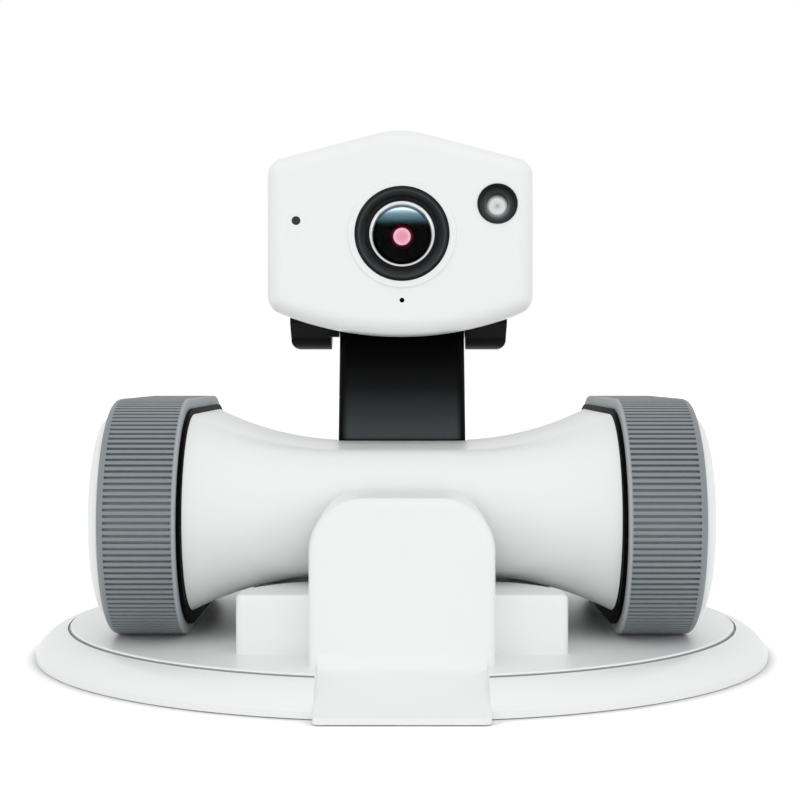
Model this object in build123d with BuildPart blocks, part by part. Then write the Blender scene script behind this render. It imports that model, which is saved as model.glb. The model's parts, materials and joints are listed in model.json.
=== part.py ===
import os
from math import asin, atan2, cos, degrees, pi, radians, sin, sqrt, tan

from build123d import *

os.makedirs("parts", exist_ok=True)

# A tracked robot camera parked on its round charging dock, in millimetres.
# The robot faces -Y, +Z is up, and X = 0 is the middle. Left is the robot's own left, +X.
# The origin is the middle of the dock's underside.

# Clearances
fit_gap = 0.3
running_gap = 0.05
seam_gap = 0.8

# Dock: a round plate with a sloping skirt, a cradle under the robot and a charging post
disc_radius = 117.6
skirt_width = 10.6
deck_top = 10.0
dock_wall = 2.4
rim_bottom = 0.3
rim_lip = 2.2
skirt_bulge = 1.5
seam_step = 0.8
shelf_width = 4.3
shelf_thickness = 2.0
plate_bottom = 0.8
plate_thickness = 2.0
foot_radius = 8.0
feet_inset = 25.6
boss_radius = 3.6
screw_radius = 1.4
screw_head_radius = 2.8
screw_depth = 4.5
screws_inset = 43.6
cradle_half_width = 47.5
cradle_front = -74.0
cradle_back = 46.0
cradle_top = 26.8
cradle_gap = 2.6
cradle_corner = 3.0
cradle_edge = 1.6
scoop_depth = 3.2
scoop_start = 28.0
scoop_end_inset = 2.0
scoop_radius = 35.0
post_half_width = 25.5
post_front = -94.7
post_back = -57.5
post_top = 56.0
post_corner = 15.0
post_edge = 2.4
post_foot_rounding = 5.0
post_wall = 2.2
post_recess = 5.0
ramp_half_width = 23.0
ramp_gap = 0.15
ramp_overhang = 4.6
ramp_lip = 1.8
ramp_corner = 2.0
inlet_width = 7.6
inlet_height = 2.8
inlet_length = 9.0
inlet_wall = 0.4
inlet_tongue_width = 4.2
inlet_tongue_height = 0.6
cable_notch_half_width = 7.0
dock_board_length = 28.0
dock_board_width = 24.0
board_thickness = 1.0

# Charging contacts: two sprung pins in the post meet two pads on the robot
contact_spacing = 20.0
pin_radius = 1.5
pin_length = 14.0
contact_gap = 0.1
block_margin = 6.0
block_height = 11.0
well_floor = 1.2
pad_width = 5.0
pad_height = 8.0
pad_gap = 0.1
pad_depth = 3.8

# Tracks: a ribbed rubber belt round two large wheels on each side
wheel_base = 68.0
track_radius = 36.0
belt_thickness = 3.5
belt_width = 22.7
rib_depth = 1.1
rib_fill = 0.55
rib_inner_margin = 1.0
rib_outer_margin = 2.1
ribs_per_straight = 36
ribs_per_bend = 60
shoulder_radius = 1.9
guide_height = 1.5
guide_width = 3.0
wheel_width = 20.0
wheel_rim = 3.0
wheel_web = 4.0
hub_radius = 7.5
lightening_radius = 6.0
lightening_circle = 18.0
drive_slots = 24
drive_slot_width = 2.4
drive_slot_depth = 1.6
roller_radius = 7.5
idler_axle_radius = 3.0
drive_shaft_radius = 2.5
roller_pin_radius = 1.5

# Body: an hourglass shell across the robot, with its axis a little above the wheels'
body_axis_rise = 1.3
body_straight = 70.0
waist_radius = 19.2
waist_flat = 18.0
rim_radius = 30.0
body_half_span = 63.9
body_wall = 2.2
shell_split = 20.0
shell_gap = 0.2

# Side frames and covers
frame_flange = 1.0
frame_radius = 33.0
register_depth = 3.0
axle_boss_radius = 8.0
roller_boss_radius = 4.0
spacer_height = 0.7
cover_radius = 31.6
cover_depth = 5.1
cover_rounding = 4.5
cover_wall = 2.3

# Inside the body
tray_thickness = 2.0
tray_half_width = 37.0
gearbox_size = 22.0
gearbox_length = 14.0
motor_radius = 8.0
motor_length = 24.0
motor_corner = 3.0
battery_length = 60.0
battery_width = 30.0
battery_height = 12.0
battery_middle = -7.0
post_radius = 2.4
board_height = 50.0
board_half_length = 34.0
board_front = -24.0
board_back = 6.0
main_board_thickness = 1.6

# Neck: an arm that swings on a shaft at the back of the body
neck_width = 44.6
neck_top_width = 43.8
neck_depth = 14.0
neck_top_depth = 13.0
neck_corner = 3.0
drum_radius = 16.4
drum_wall = 2.6
slot_side_gap = 0.5
slot_front = 26.8
slot_bottom = 51.5
neck_shaft_radius = 2.5
bush_radius = 4.2
bracket_thickness = 2.4
gear_module = 0.8
gear_teeth = 36
pinion_teeth = 12
gear_width = 5.0
gear_pressure = 25.0
gear_addendum = 0.8
gear_backlash = 0.2
neck_motor_radius = 9.0
neck_motor_length = 22.0
tilt_axis_y = 44.0
tilt_axis_z = 107.5
knuckle_radius = 8.0

# Head: a white box with a roof-shaped top, a bowed bottom and a black back with two hinge lugs
head_x = -0.6
head_half_width = 43.4
head_front = -8.0
head_split = 22.0
head_back = 36.0
head_side_bottom = 111.1
head_side_top = 159.0
head_bottom = 102.3
head_apex = 170.4
apex_rounding = 32.0
head_corner = 6.0
head_edge = 5.4
head_wall = 2.2
back_inset = 1.5
lug_x = -1.2
lug_radius = 9.2
lug_half_span = 37.7
lug_slot_half = 23.8
lug_end_rounding = 3.0
lug_front = 30.0
slot_depth_front = 28.0
slot_clearance = 2.5
tilt_pin_radius = 2.0
pin_end_inset = 3.0
head_screw_radius = 1.8
head_screw_height = 0.9
head_screw_inset = 4.6
head_screw_above = 8.0
head_screw_below = 4.0

# Camera and lamps on the face
lens_z = 135.2
bezel_radius = 15.35
bead_radius = 17.7
bead_height = 0.6
trim_radius = 10.8
glass_radius = 9.9
lamp_x = 31.0
lamp_rise = 9.7
lamp_radius = 6.5
lamp_glass_radius = 3.6
sensor_x = -34.4
sensor_rise = 4.2
sensor_radius = 1.45
mic_drop = 21.6
mic_radius = 0.8
camera_board_inset = 7.4
camera_board_height = 32.0
chip_size = 14.0
chip_height = 1.4

# Rear controls
speaker_x = 46.0
speaker_radius = 10.5
speaker_depth = 2.4
magnet_radius = 6.0
magnet_depth = 3.5
grille_slots = 5
grille_pitch = 3.6
grille_slot_length = 15.0
grille_slot_height = 1.8
switch_size = 7.0
switch_depth = 3.4
plunger_radius = 1.7
plunger_height = 0.6
button_radius = 4.0
button_flange = 5.5
button_proud = 0.9
button_travel = 1.0

# Places worked out from the sizes above
deck_radius = disc_radius - skirt_width
feet_circle = disc_radius - feet_inset
screws_circle = disc_radius - screws_inset
ramp_front = -disc_radius - ramp_overhang
deck_bottom = deck_top - dock_wall
track_axis = deck_top + track_radius
body_axis = track_axis + body_axis_rise
front_axle = -wheel_base / 2
rear_axle = wheel_base / 2
belt_inner_radius = track_radius - belt_thickness
wheel_radius = belt_inner_radius - fit_gap
flange_inner = body_half_span + shell_gap
flange_outer = flange_inner + frame_flange
belt_inner_face = flange_outer + fit_gap
belt_outer_face = belt_inner_face + belt_width
register_inner = flange_inner - register_depth
boss_inner = register_inner - register_depth + 1.0
wheel_inner_face = flange_outer + spacer_height + fit_gap
wheel_outer_face = wheel_inner_face + wheel_width
cover_inner_face = wheel_outer_face + 2 * fit_gap
cover_outer_face = cover_inner_face + cover_depth
axle_end = cover_inner_face + 1.8
roller_rise = wheel_radius - roller_radius
neck_axis_y = body_straight / 2
body_front = -body_straight / 2 - waist_radius
body_back = body_straight / 2 + rim_radius + 1
neck_half = neck_width / 2
gear_centres = gear_module * (gear_teeth + pinion_teeth) / 2
pinion_y = neck_axis_y - gear_centres
bracket_inner = neck_half + slot_side_gap + fit_gap
bracket_outer = bracket_inner + bracket_thickness
gear_face = bracket_outer + 2 * fit_gap
motor_bracket = gear_face + gear_width + 2 * fit_gap
tray_bottom = body_axis - (waist_radius - body_wall) + 0.4
tray_top = tray_bottom + tray_thickness
tray_half_length = boss_inner - fit_gap
slot_ceiling = tilt_axis_z + knuckle_radius + slot_clearance


def save_pair(piece, name):
    """Writes a piece made on the left side, and its mirror image for the right side."""
    piece.label = f"{name}_left"
    export_step(piece, f"parts/{name}_left.step")
    other = piece.mirror(Plane.YZ)
    other.label = f"{name}_right"
    export_step(other, f"parts/{name}_right.step")


def across(x):
    """The upright plane at x, drawn in Y and Z, that faces +X."""
    return Plane.YZ.offset(x)


def facing_front(y, x=0.0, z=0.0):
    """The upright plane at y, drawn in X and Z, that faces the front."""
    return Plane(origin=(x, y, z), x_dir=(1, 0, 0), z_dir=(0, -1, 0))


def stadium_block(x_from, x_to, radius, height):
    """A block with the tracks' long round outline, between two upright planes."""
    with BuildPart() as block:
        with BuildSketch(across(x_from)):
            with Locations((0, height)):
                SlotCenterToCenter(wheel_base, 2 * radius)
        extrude(amount=x_to - x_from)
    return block.part


def spool(growth, run_out=0):
    """The body's hourglass form with its surface moved out by growth, and its back drawn out by run_out."""
    waist = waist_radius + growth
    rim = rim_radius + growth
    half = body_straight / 2
    with BuildPart() as form:
        for y, direction in ((-half, 1), (half + run_out, -1)):
            with BuildSketch(facing_front(y, z=body_axis)):
                with BuildLine():
                    flat = Line((-waist_flat, waist), (waist_flat, waist))
                    flare = TangentArc(flat @ 1, (body_half_span, rim), tangent=(1, 0))
                    mirror(flare, about=Plane.YZ)
                    Polyline(
                        (body_half_span, rim),
                        (body_half_span, 0),
                        (-body_half_span, 0),
                        (-body_half_span, rim),
                    )
                make_face()
            revolve(axis=Axis((0, y, body_axis), (direction, 0, 0)), revolution_arc=180)
        with BuildSketch(facing_front(half + run_out, z=body_axis)):
            with BuildLine():
                flat = Line((-waist_flat, waist), (waist_flat, waist))
                flare = TangentArc(flat @ 1, (body_half_span, rim), tangent=(1, 0))
                mirror(flare, about=Plane.YZ)
                Polyline(
                    (body_half_span, rim),
                    (body_half_span, 0),
                    (-body_half_span, 0),
                    (-body_half_span, rim),
                )
            make_face()
            mirror(about=Plane.XZ)
        extrude(amount=body_straight + run_out)
    return form.part


def cradle_block(inset):
    """The cradle's block drawn in by inset, hollowed for the body, with a scoop for each of its flares."""
    waist_drop = body_axis - cradle_top + inset
    hollow_reach = sqrt((waist_radius + cradle_gap + inset) ** 2 - waist_drop**2)
    scoop_back = -body_straight / 2 - hollow_reach - inset
    with BuildPart() as block:
        with BuildSketch(Plane.XY.offset(deck_bottom)):
            with Locations((0, (cradle_front + cradle_back) / 2)):
                RectangleRounded(
                    2 * (cradle_half_width - inset),
                    cradle_back - cradle_front - 2 * inset,
                    cradle_corner - inset,
                )
        extrude(amount=cradle_top - deck_bottom - inset)
        if not inset:
            fillet(block.faces().sort_by(Axis.Z)[-1].edges(), cradle_edge)
        add(spool(cradle_gap + inset, cradle_back), mode=Mode.SUBTRACT)
        with BuildSketch(Plane.XY.offset(cradle_top - scoop_depth - inset)):
            with BuildLine():
                bend = RadiusArc(
                    (scoop_start, scoop_back),
                    (cradle_half_width + inset, cradle_front + scoop_end_inset),
                    scoop_radius,
                )
                Polyline(
                    bend @ 1,
                    (cradle_half_width + cradle_corner, cradle_front + scoop_end_inset),
                    (cradle_half_width + cradle_corner, cradle_back),
                    (scoop_start, cradle_back),
                    bend @ 0,
                )
            make_face()
            mirror(about=Plane.YZ)
        extrude(amount=scoop_depth + inset, mode=Mode.SUBTRACT)
    return block.part


def wheel_plane(y, z):
    """The plane in which a wheel's half section is drawn as X and radius."""
    return facing_front(y, z=z)


def turned(y, z):
    """The left-to-right line that a wheel at this place turns about."""
    return Axis((0, y, z), (1, 0, 0))


def gear_points(teeth, phase):
    """One gear's outline: true involute flanks, each drawn by three points."""
    pitch = gear_module * teeth / 2
    base = pitch * cos(radians(gear_pressure))
    tip = pitch + gear_addendum * gear_module
    root = pitch - (gear_addendum + 0.3) * gear_module
    half_tooth = (pi * gear_module / 2 - gear_backlash) / 2 / pitch
    roll = tan(radians(gear_pressure)) - radians(gear_pressure)

    def flank(radius):
        """Half the tooth's angle at a radius."""
        if radius <= base:
            return half_tooth + roll
        angle = atan2(sqrt(radius**2 - base**2), base)
        return half_tooth + roll - (tan(angle) - angle)

    points = []
    for tooth in range(teeth):
        middle = phase + 2 * pi * tooth / teeth
        for radius, side in ((root, -1), (pitch, -1), (tip, -1), (tip, 1), (pitch, 1), (root, 1)):
            angle = middle + side * flank(radius)
            points.append((radius * cos(angle), radius * sin(angle)))
    return points


def head_block(inset, y_back, y_front, edge):
    """A block with the head's outline, drawn in by inset, with its front edge rounded."""
    side = head_half_width - inset
    with BuildPart() as block:
        with BuildSketch(facing_front(y_back, x=head_x)) as outline:
            with BuildLine():
                low = head_side_bottom + inset
                high = head_side_top - inset
                bottom = ThreePointArc((-side, low), (0, head_bottom + inset), (side, low))
                Line(bottom @ 1, (side, high))
                roof = Polyline((side, high), (0, head_apex - inset), (-side, high))
                Line(roof @ 1, bottom @ 0)
            make_face()
            fillet(outline.vertices().sort_by(Axis.Y)[-1], apex_rounding)
            corners = outline.vertices().filter_by(lambda corner: abs(corner.X) > side - 1)
            fillet(corners, head_corner - inset)
        extrude(amount=y_back - y_front)
        if edge:
            fillet(block.faces().sort_by(Axis.Y)[0].edges(), edge)
    return block.part


# Dock skirt: the sloping ring between the deck's seam and the table
with BuildPart() as dock_skirt:
    with BuildSketch(Plane.XZ):
        with BuildLine():
            inner = deck_radius + seam_gap
            rim_inner = disc_radius - dock_wall
            shelf_bottom = deck_bottom - shelf_thickness
            skirt_top = deck_top - seam_step
            Polyline((disc_radius, rim_bottom), (disc_radius, rim_lip))
            SagittaArc((disc_radius, rim_lip), (inner, skirt_top), -skirt_bulge)
            Polyline(
                (inner, skirt_top),
                (inner, deck_bottom),
                (deck_radius - shelf_width, deck_bottom),
                (deck_radius - shelf_width, shelf_bottom),
                (inner + 2 * dock_wall, shelf_bottom),
                (rim_inner, rim_lip + 0.8),
                (rim_inner, rim_bottom),
                (disc_radius, rim_bottom),
            )
        make_face()
    revolve(axis=Axis.Z)
    with BuildSketch():
        with Locations((0, ramp_front)):
            Rectangle(2 * (ramp_half_width + ramp_gap), 2 * (post_front + 1 - ramp_front))
        with Locations((0, disc_radius)):
            Rectangle(2 * cable_notch_half_width, 2 * (disc_radius - deck_radius + shelf_width) + 2)
    extrude(amount=deck_top + 1, mode=Mode.SUBTRACT)
dock_skirt.part.label = "dock_skirt"
export_step(dock_skirt.part, "parts/dock_skirt.step")

# Dock deck: the flat top that the tracks stand on, with the cradle that fits under the body
with BuildPart() as dock_deck:
    with BuildSketch(Plane.XY.offset(deck_bottom)):
        Circle(deck_radius)
    extrude(amount=dock_wall)
    chamfer(dock_deck.faces().sort_by(Axis.Z)[-1].edges(), seam_step / 2)
    add(cradle_block(0))
    add(cradle_block(dock_wall), mode=Mode.SUBTRACT)
    with BuildSketch(Plane.XY.offset(plate_bottom + plate_thickness)):
        with PolarLocations(screws_circle, 4, start_angle=45):
            Circle(boss_radius)
    extrude(until=Until.NEXT)
    with BuildSketch(Plane.XY.offset(plate_bottom + plate_thickness)):
        with PolarLocations(screws_circle, 4, start_angle=45):
            Circle(screw_radius)
    extrude(amount=screw_depth, mode=Mode.SUBTRACT)
    with BuildSketch(Plane.XY.offset(deck_top)):
        with Locations((0, (post_back + fit_gap + cradle_front - post_recess) / 2)):
            Rectangle(2 * (post_half_width + fit_gap), post_back + fit_gap - cradle_front + post_recess)
    extrude(amount=cradle_top, mode=Mode.SUBTRACT)
    with BuildSketch():
        with Locations((0, ramp_front)):
            Rectangle(2 * (ramp_half_width + ramp_gap), 2 * (post_front + post_wall + fit_gap - ramp_front))
    extrude(amount=cradle_top, mode=Mode.SUBTRACT)
dock_deck.part.label = "dock_deck"
export_step(dock_deck.part, "parts/dock_deck.step")

# Charging post: a hollow upright with rounded shoulders, and the ramp that runs out in front of it
with BuildPart() as charging_post:
    with BuildSketch(facing_front(post_back)) as face:
        with Locations((0, (deck_top + post_top) / 2)):
            Rectangle(2 * post_half_width, post_top - deck_top)
        fillet(face.vertices().group_by(Axis.Y)[-1], post_corner)
    extrude(amount=post_back - post_front)
    fillet(charging_post.faces().sort_by(Axis.Y)[0].edges().group_by(Axis.Z)[1:], post_edge)
    with BuildSketch(facing_front(post_back - post_wall)) as hollow:
        with Locations((0, (deck_top + post_top - post_wall) / 2)):
            Rectangle(2 * (post_half_width - post_wall), post_top - deck_top - post_wall)
        fillet(hollow.vertices().group_by(Axis.Y)[-1], post_corner - post_wall)
    extrude(amount=post_back - post_front - 2 * post_wall, mode=Mode.SUBTRACT)
    with BuildSketch(facing_front(post_back, z=body_axis)):
        with GridLocations(contact_spacing, 1, 2, 1):
            Circle(pin_radius + fit_gap)
    extrude(amount=post_wall, mode=Mode.SUBTRACT)
    with BuildSketch(across(-ramp_half_width)) as slope:
        with BuildLine():
            Polyline(
                (post_front + post_wall, deck_top + 2 * post_foot_rounding),
                (post_front, deck_top + 2 * post_foot_rounding),
                (post_front, deck_top),
                (ramp_front + 1.2, ramp_lip),
                (ramp_front, ramp_lip - 0.8),
                (ramp_front, rim_bottom),
                (post_front + post_wall, rim_bottom),
                close=True,
            )
        make_face()
        fillet(slope.vertices().sort_by_distance((post_front, deck_top))[0], post_foot_rounding)
    extrude(amount=2 * ramp_half_width)
    ramp_corners = charging_post.edges().filter_by(Axis.Z).group_by(Axis.Y)[0]
    fillet(ramp_corners, ramp_corner)
charging_post.part.label = "charging_post"
export_step(charging_post.part, "parts/charging_post.step")

# Dock base plate, with recesses for the feet and countersunk holes for the screws
plate_top = plate_bottom + plate_thickness
upward = (Align.CENTER, Align.CENTER, Align.MIN)
with BuildPart() as dock_base_plate:
    with BuildSketch(Plane.XY.offset(plate_bottom)):
        Circle(disc_radius - dock_wall - fit_gap)
        with Locations((0, ramp_front)):
            Rectangle(
                2 * (ramp_half_width + ramp_gap),
                2 * (post_front + post_wall + fit_gap - ramp_front),
                mode=Mode.SUBTRACT,
            )
    extrude(amount=plate_thickness)
    with BuildSketch(Plane.XY.offset(plate_bottom)):
        Circle(foot_radius)
        with PolarLocations(feet_circle, 4, start_angle=45):
            Circle(foot_radius)
    extrude(amount=plate_thickness / 2, mode=Mode.SUBTRACT)
    with Locations(Plane.XY.offset(plate_bottom)):
        with PolarLocations(screws_circle, 4, start_angle=45):
            Cylinder(screw_radius, plate_thickness, align=upward, mode=Mode.SUBTRACT)
            Cylinder(screw_head_radius, plate_thickness / 2, align=upward, mode=Mode.SUBTRACT)
dock_base_plate.part.label = "dock_base_plate"
export_step(dock_base_plate.part, "parts/dock_base_plate.step")

# Five rubber feet, one of them at the middle
with BuildPart() as dock_feet:
    with BuildSketch():
        Circle(foot_radius)
        with PolarLocations(feet_circle, 4, start_angle=45):
            Circle(foot_radius)
    extrude(amount=plate_bottom + plate_thickness / 2)
dock_feet.part.label = "dock_feet"
export_step(dock_feet.part, "parts/dock_feet.step")

# Four screws that hold the base plate to the deck's bosses
with BuildPart() as dock_screws:
    with Locations(Plane.XY.offset(plate_bottom)):
        with PolarLocations(screws_circle, 4, start_angle=45):
            Cylinder(screw_head_radius, plate_thickness / 2, align=upward)
            Cylinder(screw_radius, plate_thickness + screw_depth - fit_gap, align=upward)
dock_screws.part.label = "dock_screws"
export_step(dock_screws.part, "parts/dock_screws.step")

# Dock board and the power inlet at its back edge, which looks out through the skirt's notch
inlet_mouth = deck_radius - shelf_width
with BuildPart() as dock_board:
    with BuildSketch(Plane.XY.offset(plate_top)):
        with Locations((0, inlet_mouth - dock_board_width / 2 - 1)):
            Rectangle(dock_board_length, dock_board_width)
    extrude(amount=board_thickness)
dock_board.part.label = "dock_board"
export_step(dock_board.part, "parts/dock_board.step")

with BuildPart() as power_inlet:
    with BuildSketch(facing_front(inlet_mouth, z=plate_top + board_thickness + inlet_height / 2)):
        RectangleRounded(inlet_width, inlet_height, 0.8)
    extrude(amount=inlet_length)
    with BuildSketch(facing_front(inlet_mouth, z=plate_top + board_thickness + inlet_height / 2)):
        RectangleRounded(inlet_width - 2 * inlet_wall, inlet_height - 2 * inlet_wall, 0.5)
    extrude(amount=inlet_length - 1.5, mode=Mode.SUBTRACT)
    with BuildSketch(facing_front(inlet_mouth - 1, z=plate_top + board_thickness + inlet_height / 2)):
        Rectangle(inlet_tongue_width, inlet_tongue_height)
    extrude(amount=inlet_length - 2)
power_inlet.part.label = "power_inlet"
export_step(power_inlet.part, "parts/power_inlet.step")

# Contact block inside the post, with a well for each sprung pin
well_mouth = post_back - post_wall
with BuildPart() as contact_block:
    with BuildSketch(facing_front(well_mouth, z=body_axis)):
        RectangleRounded(contact_spacing + 2 * block_margin, block_height, pin_radius)
    extrude(amount=pin_length)
    with BuildSketch(facing_front(well_mouth, z=body_axis)):
        with GridLocations(contact_spacing, 1, 2, 1):
            Circle(pin_radius + running_gap)
    extrude(amount=pin_length - well_floor, mode=Mode.SUBTRACT)
contact_block.part.label = "contact_block"
export_step(contact_block.part, "parts/contact_block.step")

# Sprung charging pins with domed tips, that just meet the robot's pads
pin_tip = body_front - contact_gap
for side, name in ((1, "charge_pin_left"), (-1, "charge_pin_right")):
    with BuildPart() as charge_pin:
        with BuildSketch(facing_front(pin_tip, x=side * contact_spacing / 2, z=body_axis)):
            Circle(pin_radius)
        extrude(amount=pin_length - 1.0)
        fillet(charge_pin.faces().sort_by(Axis.Y)[-1].edges(), pin_radius * 0.6)
    charge_pin.part.label = name
    export_step(charge_pin.part, f"parts/{name}.step")

# Body shell, open at both ends, cut into a front and a rear moulding
with BuildPart() as body_shell:
    add(spool(0))
    add(spool(-body_wall), mode=Mode.SUBTRACT)

with BuildPart() as body_front_shell:
    add(body_shell.part)
    split(bisect_by=Plane.XZ.offset(-shell_split), keep=Keep.TOP)
    with BuildSketch(facing_front(body_front + waist_radius, z=body_axis)):
        with GridLocations(contact_spacing, 1, 2, 1):
            Rectangle(pad_width + 2 * pad_gap, pad_height + 2 * pad_gap)
    extrude(amount=waist_radius + 1, mode=Mode.SUBTRACT)
body_front_shell.part.label = "body_front_shell"
export_step(body_front_shell.part, "parts/body_front_shell.step")

with BuildPart() as body_rear_shell:
    add(body_shell.part)
    split(bisect_by=Plane.XZ.offset(-shell_split - 0.1), keep=Keep.BOTTOM)
    slot_half = neck_half + slot_side_gap
    with Locations((0, slot_front, slot_bottom)):
        Box(2 * slot_half, 60, 40, align=(Align.CENTER, Align.MIN, Align.MIN), mode=Mode.SUBTRACT)
    with BuildSketch(facing_front(body_back, z=body_axis)):
        with Locations((speaker_x, 0)):
            with GridLocations(1, grille_pitch, 1, grille_slots):
                SlotOverall(grille_slot_length, grille_slot_height)
        with Locations((-speaker_x, 0)):
            Circle(button_radius + fit_gap)
    extrude(amount=rim_radius, mode=Mode.SUBTRACT)
body_rear_shell.part.label = "body_rear_shell"
export_step(body_rear_shell.part, "parts/body_rear_shell.step")

# Charging pads let into the front of the body
with BuildPart() as charge_terminals:
    with BuildSketch(facing_front(body_front + pad_depth, z=body_axis)):
        with GridLocations(contact_spacing, 1, 2, 1):
            Rectangle(pad_width, pad_height)
    extrude(amount=pad_depth)
charge_terminals.part.label = "charge_terminals"
export_step(charge_terminals.part, "parts/charge_terminals.step")

# Side frame: closes the body's end and carries the axles
with BuildPart() as side_frame:
    add(stadium_block(flange_inner, flange_outer, frame_radius, track_axis))
    register_radius = rim_radius - body_wall - 1.6
    with BuildSketch(across(register_inner)):
        with Locations((0, body_axis)):
            SlotCenterToCenter(body_straight, 2 * register_radius)
            SlotCenterToCenter(body_straight, 2 * (register_radius - body_wall), mode=Mode.SUBTRACT)
    extrude(amount=register_depth)
    with BuildSketch(across(boss_inner)):
        with Locations((front_axle, track_axis), (rear_axle, track_axis)):
            Circle(axle_boss_radius)
    extrude(amount=flange_outer - boss_inner)
    with BuildSketch(across(flange_outer)):
        with Locations((front_axle, track_axis), (rear_axle, track_axis)):
            Circle(hub_radius - 1.5)
        with Locations((0, track_axis + roller_rise), (0, track_axis - roller_rise)):
            Circle(roller_boss_radius - 1)
    extrude(amount=spacer_height)
    with BuildSketch(across(boss_inner)):
        with Locations((front_axle, track_axis)):
            Circle(drive_shaft_radius + running_gap)
        with Locations((rear_axle, track_axis)):
            Circle(idler_axle_radius)
        with Locations((0, track_axis + roller_rise), (0, track_axis - roller_rise)):
            Circle(roller_pin_radius)
    extrude(amount=flange_outer + spacer_height - boss_inner, mode=Mode.SUBTRACT)
save_pair(side_frame.part, "side_frame")

# Track belt: a rubber loop with fine cross ribs outside and a guide rib inside
rib_pitch = wheel_base / ribs_per_straight
groove = rib_pitch * (1 - rib_fill)
groove_ring = track_radius - rib_depth / 2 + 0.5
with BuildPart() as track_belt:
    add(stadium_block(belt_inner_face, belt_outer_face, track_radius, track_axis))
    fillet(track_belt.faces().sort_by(Axis.X)[-1].edges(), shoulder_radius)
    fillet(track_belt.faces().sort_by(Axis.X)[0].edges(), rib_inner_margin / 2)
    add(
        stadium_block(belt_inner_face, belt_outer_face, belt_inner_radius, track_axis),
        mode=Mode.SUBTRACT,
    )
    with BuildSketch(across(belt_inner_face + rib_inner_margin)):
        for side in (-1, 1):
            with Locations((0, track_axis + side * groove_ring)):
                with GridLocations(rib_pitch, 1, ribs_per_straight, 1):
                    Rectangle(groove, rib_depth + 1)
        for y, start in ((rear_axle, -90), (front_axle, 90)):
            with Locations((y, track_axis)):
                with PolarLocations(
                    groove_ring, ribs_per_bend, start_angle=start + 90 / ribs_per_bend, angular_range=180
                ):
                    Rectangle(rib_depth + 1, groove)
    extrude(amount=belt_width - rib_inner_margin - rib_outer_margin, mode=Mode.SUBTRACT)
    belt_middle = (wheel_inner_face + wheel_outer_face) / 2
    with BuildSketch(across(belt_middle - guide_width / 2)):
        with Locations((0, track_axis)):
            SlotCenterToCenter(wheel_base, 2 * belt_inner_radius)
            SlotCenterToCenter(wheel_base, 2 * (belt_inner_radius - guide_height), mode=Mode.SUBTRACT)
    extrude(amount=guide_width)
save_pair(track_belt.part, "track_belt")

# Wheels: rim, web and hub in one half section, with a groove for the belt's guide rib
groove_half = guide_width / 2 + 2 * fit_gap
groove_floor = wheel_radius - guide_height - fit_gap
for name, y, bore in (
    ("drive_wheel", front_axle, drive_shaft_radius),
    ("idler_wheel", rear_axle, idler_axle_radius + running_gap),
):
    with BuildPart() as wheel:
        with BuildSketch(wheel_plane(y, track_axis)):
            half = wheel_width / 2
            with Locations((belt_middle, 0)):
                with Locations((0, (wheel_radius - wheel_rim - guide_height + wheel_radius) / 2)):
                    Rectangle(wheel_width, wheel_rim + guide_height)
                with Locations((0, (bore + wheel_radius - wheel_rim) / 2)):
                    Rectangle(wheel_web, wheel_radius - wheel_rim - bore)
                with Locations((0, (bore + hub_radius) / 2)):
                    Rectangle(wheel_width, hub_radius - bore)
                with Locations((0, wheel_radius)):
                    Rectangle(2 * groove_half, 2 * (wheel_radius - groove_floor), mode=Mode.SUBTRACT)
        revolve(axis=turned(y, track_axis))
        with BuildSketch(across(belt_middle)):
            with Locations((y, track_axis)):
                with PolarLocations(lightening_circle, 6):
                    Circle(lightening_radius)
        extrude(amount=wheel_web, both=True, mode=Mode.SUBTRACT)
        if name == "drive_wheel":
            with BuildSketch(across(wheel_inner_face)):
                with Locations((y, track_axis)):
                    with PolarLocations(wheel_radius, drive_slots):
                        Rectangle(2 * drive_slot_depth, drive_slot_width)
            extrude(amount=wheel_width, mode=Mode.SUBTRACT)
    save_pair(wheel.part, name)

# Guide rollers above and below the gap between the wheels
for name, side in (("upper_roller", 1), ("lower_roller", -1)):
    with BuildPart() as roller:
        height = track_axis + side * roller_rise
        with BuildSketch(wheel_plane(0, height)):
            with Locations((belt_middle, (roller_pin_radius + running_gap + roller_radius) / 2)):
                Rectangle(wheel_width, roller_radius - roller_pin_radius - running_gap)
            with Locations((belt_middle, roller_radius)):
                Rectangle(2 * groove_half, 2 * (guide_height + fit_gap), mode=Mode.SUBTRACT)
        revolve(axis=turned(0, height))
    save_pair(roller.part, name)

# Drive shafts, from each gearbox through the frame and the wheel to the cover
gearbox_outer = boss_inner
with BuildPart() as drive_shaft:
    with BuildSketch(across(gearbox_outer - 8)):
        with Locations((front_axle, track_axis)):
            Circle(drive_shaft_radius)
    extrude(amount=axle_end - gearbox_outer + 8)
save_pair(drive_shaft.part, "drive_shaft")

# Fixed axles of the idler wheels, and the rollers' pins, on both sides
with BuildPart() as idler_axles:
    with BuildSketch(across(boss_inner)):
        with Locations((rear_axle, track_axis)):
            Circle(idler_axle_radius)
    extrude(amount=axle_end - boss_inner)
    mirror(about=Plane.YZ)
idler_axles.part.label = "idler_axles"
export_step(idler_axles.part, "parts/idler_axles.step")

with BuildPart() as roller_pins:
    with BuildSketch(across(flange_inner)):
        with Locations((0, track_axis + roller_rise), (0, track_axis - roller_rise)):
            Circle(roller_pin_radius)
    extrude(amount=axle_end - flange_inner)
    mirror(about=Plane.YZ)
roller_pins.part.label = "roller_pins"
export_step(roller_pins.part, "parts/roller_pins.step")

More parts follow.
